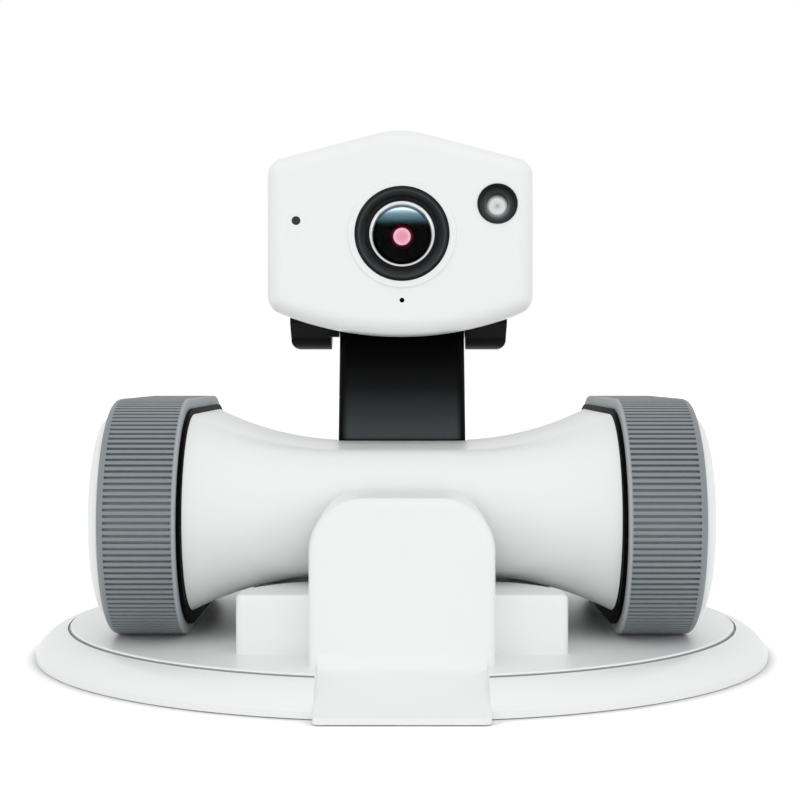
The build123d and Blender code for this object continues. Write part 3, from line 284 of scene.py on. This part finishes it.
def clear(name, colour, roughness, ior):
    """A clear material with faint wiping marks in its polish."""
    material, tree, output = blank(name)
    place = add(tree, "ShaderNodeTexCoord").outputs["Object"]
    wipes = add(
        tree, "ShaderNodeTexNoise", {"Vector": place, "Scale": per_mm(CLOTH_MARK), "Detail": 2.0}
    )
    gloss = add(
        tree,
        "ShaderNodeMapRange",
        {"Value": wipes.outputs["Fac"], "To Min": roughness * 0.6, "To Max": roughness * 1.4},
    )
    shader = add(
        tree,
        "ShaderNodeBsdfPrincipled",
        {
            "Base Color": linear(colour),
            "Roughness": gloss.outputs["Result"],
            "IOR": ior,
            "Transmission Weight": 1.0,
        },
    )
    tree.links.new(shader.outputs["BSDF"], output.inputs["Surface"])
    return material


# ABS, moulded in a polished tool: white with a soft gloss that spreads the studio's light
white_abs = moulded(
    "white_abs_moulded", ("#F0F2F1", "#EEF0EF"), roughness=0.34, ior=1.54, grain=0.5, depth=0.004
)
# Nitrile rubber, moulded: mid grey and dull with a dusty bloom, with painted light on its smooth
# flank, which faces the robot's middle: the flank is paler there
belt_low, belt_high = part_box("track_belt_right")
flank = min(abs(belt_low.x), abs(belt_high.x)) / MM
track_rubber = moulded(
    "track_rubber_moulded",
    ("#868C90", "#7F8589"),
    roughness=0.6,
    ior=1.52,
    grain=0.4,
    depth=0.03,
    sides=(flank + 1.2, flank + 0.3, "#A4AAAE"),
    Sheen_Weight=0.1,
)
# Painted shade in the dock's seam: a light grey, dull strip that draws the seam's shadow as a fine
# line
seam_shade_grey = moulded(
    "seam_shade_painted_grey",
    ("#A0A3A5", "#989B9D"),
    roughness=0.65,
    ior=1.52,
    grain=0.4,
    depth=0.01,
    Specular_IOR_Level=0.2,
)
# Rubber feet, moulded: black and dull
foot_rubber = moulded(
    "foot_rubber_moulded", ("#1D1D1D", "#191919"), roughness=0.75, ior=1.52, grain=0.4, depth=0.03
)
# Polycarbonate, moulded with a satin face: black, with painted shade under the head, at its rounded
# sides and in a dark line at its foot, and greyer towards the body from a painted reflection of the
# body's white
neck_black = moulded(
    "neck_polycarbonate_shade_and_reflection_painted",
    ((66.6, "#050505"), (67.4, "#54575A"), (76, "#3A3C3E"), (85, "#191A1B"), (95, "#040404")),
    roughness=0.4,
    ior=1.58,
    grain=0.6,
    depth=0.003,
    by_height=True,
    sides=(18.4, 21.4, "#050505"),
    Specular_IOR_Level=0.03,
)
# ABS, moulded in an etched tool: black and satin
black_abs = moulded(
    "black_abs_etched",
    ("#0E0F10", "#0B0C0D"),
    roughness=0.45,
    ior=1.54,
    grain=0.35,
    depth=0.01,
    Specular_IOR_Level=0.1,
)
# ABS side frames, etched: black and dull, and darker than the other black ABS, which paints shade
# into the gap beside each belt so that it looks deep. The same black paints the shade in the
# head screws' recesses.
side_abs = moulded(
    "side_frame_abs_etched",
    ("#040404", "#030303"),
    roughness=0.6,
    ior=1.54,
    grain=0.35,
    depth=0.01,
    Specular_IOR_Level=0.04,
)
# ABS under the dock: black, with a coarser etched grain that hides scratches
base_abs = moulded(
    "base_abs_etched", ("#1A1B1D", "#161719"), roughness=0.55, ior=1.54, grain=0.5, depth=0.02
)
# Anodised barrel inside the lens: dead black, so that no light comes back out of it
barrel_black = moulded(
    "barrel_black_anodised",
    ("#030303", "#020202"),
    roughness=0.8,
    ior=1.5,
    grain=0.4,
    depth=0.004,
    Specular_IOR_Level=0.05,
)
# Acetal wheels, moulded: grey and waxy
acetal = moulded(
    "wheel_acetal_moulded", ("#5C5F61", "#56595B"), roughness=0.38, ior=1.48, grain=0.5, depth=0.006
)
# Nylon gear, moulded: cream and soft in its gloss
nylon = moulded(
    "gear_nylon_moulded", ("#DCD9C8", "#D6D2C0"), roughness=0.42, ior=1.53, grain=0.5, depth=0.006
)
# ABS power button, moulded: mid grey, a little glossier than the belts
button_abs = moulded(
    "button_abs_moulded", ("#A9ACAE", "#A3A6A8"), roughness=0.35, ior=1.54, grain=0.5, depth=0.004
)
# Glass fibre board under solder mask: dark green, with the weave faint in its gloss
board_green = moulded(
    "board_solder_mask", ("#123F28", "#0F3622"), roughness=0.3, ior=1.55, grain=1.6, depth=0.02
)
# Battery in shrunk film: blue, glossy and faintly wavy
battery_film = moulded(
    "battery_shrink_film", ("#1F4C8A", "#1B447C"), roughness=0.25, ior=1.5, grain=4.0, depth=0.02
)
# Smoked acrylic over the light sensor, polished: near black and glossy
smoked_acrylic = moulded(
    "smoked_acrylic_polished",
    ("#18191B", "#151618"),
    roughness=0.12,
    ior=1.49,
    grain=1.0,
    depth=0.001,
)
# Nickel plate, polished: the bright thin line round the lens
nickel = metal("trim_nickel_polished", "#D5D8DA", roughness=0.12, marks=0.8)
# Steel, ground: axles and pins with a soft shine drawn out round them
ground_steel = metal("axle_steel_ground", "#B5B6B8", roughness=0.3, marks=0.3, anisotropy=0.3)
# Steel, blackened: screws that show as dark grey dots
black_steel = metal("screw_steel_blackened", "#4A4B4D", roughness=0.4, marks=0.4)
# Steel, deep drawn: the motors' cans, with the draw marks in their shine
motor_steel = metal("motor_can_steel_drawn", "#A2A4A7", roughness=0.32, marks=0.5, anisotropy=0.4)
# Tin plate: the bright shell of the power inlet
tin_plate = metal("inlet_tin_plate", "#C4C7CA", roughness=0.22, marks=0.5)
# Gold plate: the warm glint of the charging pins and their pads
gold_plate = metal("contact_gold_plate", "#E3B95A", roughness=0.2, marks=0.5)
# Bronze, sintered: brown and matt from its pores
bush_bronze = metal("bush_bronze_sintered", "#A8763E", roughness=0.45, marks=0.2)
# Brass, cut: a yellow pinion with cutter marks
pinion_brass = metal("pinion_brass_cut", "#C79B4C", roughness=0.28, marks=0.3)
# Cover glass of the lens, coated: clear, and the coating leaves it almost no reflection
coated_glass = clear("lens_glass_coated", "#F4FAFC", roughness=0.01, ior=1.06)

# Lens and lamp: where their middles are
barrel_low, barrel_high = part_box("lens_barrel")
lens_x = (barrel_low.x + barrel_high.x) / 2
lens_z = (barrel_low.z + barrel_high.z) / 2
lamp_low, lamp_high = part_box("night_lamp")
LIGHT_SOURCE_DROP = 0.7 * MM
lamp_middle = (
    (lamp_low.x + lamp_high.x) / 2,
    0,
    (lamp_low.z + lamp_high.z) / 2 - LIGHT_SOURCE_DROP,
)

# Lens bezel, polished polycarbonate: black, with a painted highlight, a greyer band where its slope
# would catch the light
lens_bezel_painted_glint = coated(
    "lens_bezel_glint_painted",
    (lens_x, 0, lens_z),
    (
        (10.8, "#030303"),
        (12.0, "#0C0D0E"),
        (13.2, "#2B2E30"),
        (14.1, "#3A3E40"),
        (14.7, "#101111"),
        (15.4, "#040404"),
    ),
    roughness=0.15,
    level=0.1,
)
# Lamp, frosted acrylic, with painted light: its colour is brightest in a ring round its light
# source, as if lit through, and darkens towards its rim
lamp_painted_glow = coated(
    "lamp_acrylic_glow_painted",
    lamp_middle,
    (
        (0.0, "#BEC4C4"),
        (1.3, "#F2F5F5"),
        (2.4, "#F6F8F8"),
        (3.0, "#B4B8B8"),
        (3.6, "#4A4D4D"),
        (4.4, "#1C1D1E"),
    ),
    roughness=0.3,
    level=0.2,
)
# Lamp bezel, polished polycarbonate: black, with the lamp's light painted on it as grey inside
lamp_bezel_painted_light = coated(
    "lamp_bezel_lamplight_painted",
    lamp_middle,
    (
        (2.8, "#A9ADAD"),
        (3.6, "#6C7070"),
        (4.4, "#3A3D3D"),
        (5.6, "#242727"),
        (6.4, "#0A0A0A"),
        (7.3, "#060606"),
    ),
    level=0.1,
)

# Each node takes the finish of its slot, but these four have their own
OWN_FINISHES = {
    "lens_barrel": barrel_black,
    "lens_bezel": lens_bezel_painted_glint,
    "lamp_bezel": lamp_bezel_painted_light,
    "night_lamp": lamp_painted_glow,
}
SLOT_FINISHES = {
    "white_gloss": white_abs,
    "black_base": base_abs,
    "foot_rubber": foot_rubber,
    "screw_steel": black_steel,
    "axle_steel": ground_steel,
    "circuit_board": board_green,
    "inlet_metal": tin_plate,
    "contact_gold": gold_plate,
    "frame_black": side_abs,
    "belt_rubber": track_rubber,
    "wheel_grey": acetal,
    "motor_metal": motor_steel,
    "battery_wrap": battery_film,
    "speaker_cone": black_abs,
    "switch_black": black_abs,
    "button_grey": button_abs,
    "bush_bronze": bush_bronze,
    "gear_nylon": nylon,
    "pinion_brass": pinion_brass,
    "neck_black": neck_black,
    "head_back_black": black_abs,
    "trim_silver": nickel,
    "lens_glass": coated_glass,
    "sensor_smoke": smoked_acrylic,
}

for part in frame["record"]["subparts"]:
    name = part["node"]
    material = OWN_FINISHES.get(name) or SLOT_FINISHES[part["material_slot"]]
    nodes[name].data.materials.clear()
    nodes[name].data.materials.append(material)


def finished(name, mesh, material, body, centre=(0, 0, 0), smooth=False):
    """Turns a mesh in the making into a piece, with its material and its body."""
    bmesh.ops.recalc_face_normals(mesh, faces=mesh.faces[:])
    data = bpy.data.meshes.new(name)
    mesh.to_mesh(data)
    mesh.free()
    if smooth:
        data.shade_smooth()
    data.materials.append(material)
    piece = bpy.data.objects.new(name, data)
    piece.location = centre
    scene.collection.objects.link(piece)
    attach(piece, body)


def slab(name, material, body, near, far):
    """Makes a flat piece between two matching outlines, each a list of points."""
    mesh = bmesh.new()
    first = [mesh.verts.new(point) for point in near]
    second = [mesh.verts.new(point) for point in far]
    mesh.faces.new(first)
    mesh.faces.new(second)
    for i in range(len(first)):
        j = (i + 1) % len(first)
        mesh.faces.new((first[i], first[j], second[j], second[i]))
    finished(name, mesh, material, body)


def turned_piece(name, material, body, centre, rings, steps=64):
    """Makes a piece turned about a line along Y through centre. Rings are (radius, y), with a
    third number where a ring sits that much lower than the centre."""
    mesh = bmesh.new()
    previous = None
    for radius, y, *drop in rings:
        low = sum(drop)
        if radius == 0:
            ring = [mesh.verts.new((0, y, -low))]
        else:
            ring = []
            for i in range(steps):
                angle = 2 * math.pi * i / steps
                x, z = radius * math.cos(angle), radius * math.sin(angle) - low
                ring.append(mesh.verts.new((x, y, z)))
        if previous:
            for i in range(steps):
                j = (i + 1) % steps
                if len(previous) == 1:
                    mesh.faces.new((previous[0], ring[i], ring[j]))
                elif len(ring) == 1:
                    mesh.faces.new((previous[i], ring[0], previous[j]))
                else:
                    mesh.faces.new((previous[i], ring[i], ring[j], previous[j]))
        previous = ring
    finished(name, mesh, material, body, centre, smooth=True)


def bulging_element(name, material, radius, seat, bulge, drop=0.0):
    """Makes a lens element with a bulging front, whose rim is at seat."""
    edge = 0.05 * MM
    steps = 10
    rings = []
    for k in range(steps + 1):
        share = k / steps
        rings.append((radius * share, seat - bulge * (1 - share**2) - edge))
    rings += [(radius, seat), (0, seat)]
    turned_piece(name, material, "head", (lens_x, 0, lens_z - drop), rings)


# Front element: black glass with a painted reflection that turns teal, then pale, towards its top,
# and a pale painted crescent of reflection at its top. It stands just in front of the barrel.
ELEMENT_BULGE = 0.3 * MM
element_front = barrel_low.y - 0.02 * MM
front_painted_reflection = coated(
    "element_reflection_painted",
    (0, 0, 0),
    (
        (2.6, "#020202"),
        (3.4, "#0B1113"),
        (4.2, "#202E33"),
        (5.2, "#3C5159"),
        (6.7, "#5A7079"),
        (7.8, "#8B9BA4"),
        (8.6, "#C0CAD2"),
    ),
    by_height=True,
    roughness=0.3,
    level=0.0,
    mirrored=True,
    crescent=(6.0, 13.6, 14.8, "#E2E8F0"),
)
bulging_element(
    "lens_front_element", front_painted_reflection, radius=9.6 * MM, seat=element_front, bulge=ELEMENT_BULGE
)

# Pupil, a little below the lens's middle: a painted rose reflection, paler at its rim, in a dark
# red edge that fades to black
PUPIL_DROP = 0.7 * MM
EDGE_BULGE = 0.04 * MM
edge_seat = element_front - ELEMENT_BULGE
rose_edge_painted_reflection = coated(
    "pupil_edge_reflection_painted",
    (0, 0, 0),
    ((0.0, "#8A2038"), (2.7, "#7A1830"), (3.4, "#35060F"), (4.2, "#020102")),
    level=0.0,
)
rose_painted_reflection = coated(
    "pupil_rose_reflection_painted", (0, 0, 0), ((0.0, "#E987A2"), (1.7, "#F09AB0"), (2.8, "#FBC4CF"))
)
bulging_element(
    "lens_pupil_edge",
    rose_edge_painted_reflection,
    radius=4.2 * MM,
    seat=edge_seat,
    bulge=EDGE_BULGE,
    drop=PUPIL_DROP,
)
bulging_element(
    "lens_pupil",
    rose_painted_reflection,
    radius=2.8 * MM,
    seat=edge_seat - EDGE_BULGE,
    bulge=0.1 * MM,
    drop=PUPIL_DROP,
)

# Retaining ring: a bright bevel from the trim ring down to the element, wider at its top, where the
# extra width draws a painted highlight along the glass's top edge
trim_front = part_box("lens_trim_ring")[0].y
turned_piece(
    "lens_retaining_ring",
    nickel,
    "head",
    (lens_x, 0, lens_z),
    [
        (9.1 * MM, element_front - 0.05 * MM, 0.4 * MM),
        (9.8 * MM, trim_front + 0.2 * MM, 0.15 * MM),
        (10.3 * MM, trim_front - 0.02 * MM),
        (10.5 * MM, trim_front + 0.05 * MM),
    ],
)

# Webs that join the head's lugs to its rear shell, either side of the neck: (y, z) points, and
# each web's x beside the neck and at its lug
WEB_OUTLINE = [(28, 112), (28, 103.6), (29.2, 102.5), (38, 102.5), (40, 104.5), (40, 112)]
for side, inner, outer in (("left", -22.05, -25.2), ("right", 22.05, 22.8)):
    near = [(inner * MM, y * MM, z * MM) for y, z in WEB_OUTLINE]
    far = [(outer * MM, y * MM, z * MM) for y, z in WEB_OUTLINE]
    slab(f"hinge_web_{side}", black_abs, "head", near, far)

# Painted shade in the head's four screws: black crosses on their faces stand in for the shade in
# their recesses for a screwdriver. Their sizes are in millimetres.
SCREW_RADIUS = 1.8
ARM_LONG = 1.1
ARM_HALF = 0.28
CROSS_DEPTH = 0.2
CROSS_PROUD = 0.02
CROSS = [
    (ARM_HALF, ARM_HALF),
    (ARM_HALF, ARM_LONG),
    (-ARM_HALF, ARM_LONG),
    (-ARM_HALF, ARM_HALF),
    (-ARM_LONG, ARM_HALF),
    (-ARM_LONG, -ARM_HALF),
    (-ARM_HALF, -ARM_HALF),
    (-ARM_HALF, -ARM_LONG),
    (ARM_HALF, -ARM_LONG),
    (ARM_HALF, -ARM_HALF),
    (ARM_LONG, -ARM_HALF),
    (ARM_LONG, ARM_HALF),
]
screws_low, screws_high = (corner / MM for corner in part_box("head_screws"))
screw_columns = (("left", screws_low.x + SCREW_RADIUS), ("right", screws_high.x - SCREW_RADIUS))
screw_rows = (("low", screws_low.z + SCREW_RADIUS), ("high", screws_high.z - SCREW_RADIUS))
for side, x in screw_columns:
    for height, z in screw_rows:
        near, far = [
            [((x + a) * MM, y * MM, (z + b) * MM) for a, b in CROSS]
            for y in (screws_high.y - CROSS_DEPTH, screws_high.y + CROSS_PROUD)
        ]
        slab(f"screw_recess_shade_{height}_{side}", side_abs, "head", near, far)


def swept_ring(name, material, body, section, start, end, steps=180):
    """Makes a piece whose closed section of (radius, z) points, in millimetres, goes round the
    upright line through the dock's middle, between two angles in degrees from the front."""
    mesh = bmesh.new()
    rings = []
    for i in range(steps + 1):
        angle = math.radians(start + (end - start) * i / steps)
        across, along = math.sin(angle) * MM, -math.cos(angle) * MM
        rings.append([mesh.verts.new((r * across, r * along, z * MM)) for r, z in section])
    for here, after in zip(rings, rings[1:]):
        for i in range(len(section)):
            j = (i + 1) % len(section)
            mesh.faces.new((here[i], here[j], after[j], after[i]))
    mesh.faces.new(rings[0])
    mesh.faces.new(rings[-1])
    finished(name, mesh, material, body)


# Painted shade: a grey strip round the deck's edge, in the seam over the skirt, standing in for the
# seam's shadow. It stops either side of the ramp.
DECK_RADIUS = 107.0
SHADE_STRIP_RADIUS = 107.35
RAMP_HALF_ANGLE = 12.6
swept_ring(
    "seam_shade_strip",
    seam_shade_grey,
    "dock",
    [(DECK_RADIUS, 8.9), (SHADE_STRIP_RADIUS, 8.9), (SHADE_STRIP_RADIUS, 9.42), (DECK_RADIUS, 9.55)],
    RAMP_HALF_ANGLE,
    360 - RAMP_HALF_ANGLE,
)

# Fillers in the narrow gaps at the ramp's sides, just below the skirt's surface, which slopes up
# from its rim and bulges square to that slope. Sizes are in millimetres.
RAMP_SIDE = 23.0
GAP = 0.15
BELOW = 0.15
RIM_RADIUS = 117.6
RIM_TOP = 2.2
SLOPE_RUN = 9.8
SLOPE_RISE = 7.0
SKIRT_BULGE = 1.5
BULGE_OUT = 0.58
BULGE_UP = 0.81
INNER_RADIUS = 97.5
FILLER_TOP = 9.85
FILLER_BOTTOM = 0.5
SLOPE_STEPS = 8
profile = [(RIM_RADIUS, FILLER_BOTTOM)]
for i in range(SLOPE_STEPS + 1):
    along = i / SLOPE_STEPS
    bulge = SKIRT_BULGE * (1 - (2 * along - 1) ** 2)
    r = RIM_RADIUS - SLOPE_RUN * along + BULGE_OUT * bulge
    z = RIM_TOP + SLOPE_RISE * along + BULGE_UP * bulge - BELOW
    profile.append((r, z))
profile += [(DECK_RADIUS, FILLER_TOP), (INNER_RADIUS, FILLER_TOP), (INNER_RADIUS, FILLER_BOTTOM)]
outline = [(-math.sqrt(r**2 - RAMP_SIDE**2) * MM, z * MM) for r, z in profile]
for side, x in (("left", -RAMP_SIDE - GAP), ("right", RAMP_SIDE)):
    near = [(x * MM, y, z) for y, z in outline]
    far = [((x + GAP) * MM, y, z) for y, z in outline]
    slab(f"ramp_filler_{side}", white_abs, "dock", near, far)


def seen_rays(tree):
    """1 for the rays that show a surface to the camera, straight on, by a reflection or through
    glass."""
    rays = add(tree, "ShaderNodeLightPath")
    seen = rays.outputs["Is Camera Ray"]
    for kind in ("Is Glossy Ray", "Is Transmission Ray"):
        either = add(
            tree, "ShaderNodeMath", {0: seen, 1: rays.outputs[kind]}, operation="MAXIMUM"
        )
        seen = either.outputs["Value"]
    return seen


# Studio floor: white paper that glows for the camera up to white, but less close to the dock, so
# that a fine contact shadow stays
FLOOR_REACH = 6.0
FLOOR_GLOW = 0.62
CONTACT_WIDTH = 25 * MM
CONTACT_DARK, CONTACT_ENDS = 0.78, 0.98
floor_mesh = bpy.data.meshes.new("studio_floor")
corners = [(x * FLOOR_REACH, y * FLOOR_REACH, 0) for x, y in ((-1, -1), (1, -1), (1, 1), (-1, 1))]
floor_mesh.from_pydata(corners, [], [(0, 1, 2, 3)])
floor = bpy.data.objects.new("studio_floor", floor_mesh)
scene.collection.objects.link(floor)
floor_paper, tree, output = blank("studio_paper")
contact = add(tree, "ShaderNodeAmbientOcclusion", {"Distance": CONTACT_WIDTH}, samples=8)
openness = add(
    tree,
    "ShaderNodeMapRange",
    {"Value": contact.outputs["AO"], "From Min": CONTACT_DARK, "From Max": CONTACT_ENDS},
)
open_glow = add(
    tree, "ShaderNodeMath", {0: openness.outputs["Result"], 1: FLOOR_GLOW}, operation="MULTIPLY"
)
glow = add(
    tree,
    "ShaderNodeMath",
    {0: seen_rays(tree), 1: open_glow.outputs["Value"]},
    operation="MULTIPLY",
)
paper = add(tree, "ShaderNodeBsdfDiffuse", {"Color": linear("#F2F2F2")})
lit = add(tree, "ShaderNodeEmission", {"Strength": glow.outputs["Value"]})
both = add(tree, "ShaderNodeAddShader", {0: paper.outputs["BSDF"], 1: lit.outputs["Emission"]})
tree.links.new(both.outputs["Shader"], output.inputs["Surface"])
floor_mesh.materials.append(floor_paper)

# World: white to the camera and in reflections, and a dimmer white as light
SKY_LIGHT = 0.64
world = bpy.data.worlds.new("studio_world")
world.use_nodes = True
scene.world = world
tree = world.node_tree
tree.nodes.clear()
strength = add(tree, "ShaderNodeMapRange", {"Value": seen_rays(tree), "To Min": SKY_LIGHT})
sky = add(
    tree,
    "ShaderNodeBackground",
    {"Color": (1.0, 1.0, 1.0, 1.0), "Strength": strength.outputs["Result"]},
)
add(tree, "ShaderNodeOutputWorld", {"Surface": sky.outputs["Background"]})


def soft_box(name, place, target, width, height, power):
    """Adds a large area lamp at a place, turned to a target. Sizes are in metres, and power in
    watts. No box shows in the gloss, which reflects the white studio instead."""
    data = bpy.data.lights.new(name, "AREA")
    data.shape = "RECTANGLE"
    data.size = width
    data.size_y = height
    data.energy = power
    lamp = bpy.data.objects.new(name, data)
    lamp.location = place
    lamp.rotation_euler = (Vector(target) - Vector(place)).to_track_quat("-Z", "Y").to_euler()
    lamp.visible_glossy = False
    scene.collection.objects.link(lamp)


soft_box("overhead_soft_box", (0, -0.6, 1.3), (0, 0, 0.05), width=1.8, height=1.2, power=4.2)
soft_box("front_soft_box", (0, -1.6, 0.2), (0, 0, 0.06), width=1.8, height=0.4, power=4.6)
soft_box("left_soft_box", (-1.3, -0.5, 0.4), (0, 0, 0.06), width=1.0, height=0.7, power=1.9)
soft_box("right_soft_box", (1.3, -0.5, 0.4), (0, 0, 0.06), width=1.0, height=0.7, power=1.9)

# Camera
camera_data = bpy.data.cameras.new("camera")
camera_data.sensor_width = SENSOR
camera_data.lens = FOCAL_PIXELS / IMAGE_SIZE * SENSOR
camera_data.shift_x = (IMAGE_SIZE / 2 - MIDDLE_X_PIXEL) / IMAGE_SIZE
camera_data.shift_y = (HORIZON_PIXEL - IMAGE_SIZE / 2) / IMAGE_SIZE
camera_data.clip_start = 0.01
camera_data.clip_end = 20.0
camera = bpy.data.objects.new("camera", camera_data)
camera.location = (0, -CAMERA_DISTANCE, CAMERA_HEIGHT)
camera.rotation_euler = (math.radians(90), 0, 0)
scene.collection.objects.link(camera)
scene.camera = camera
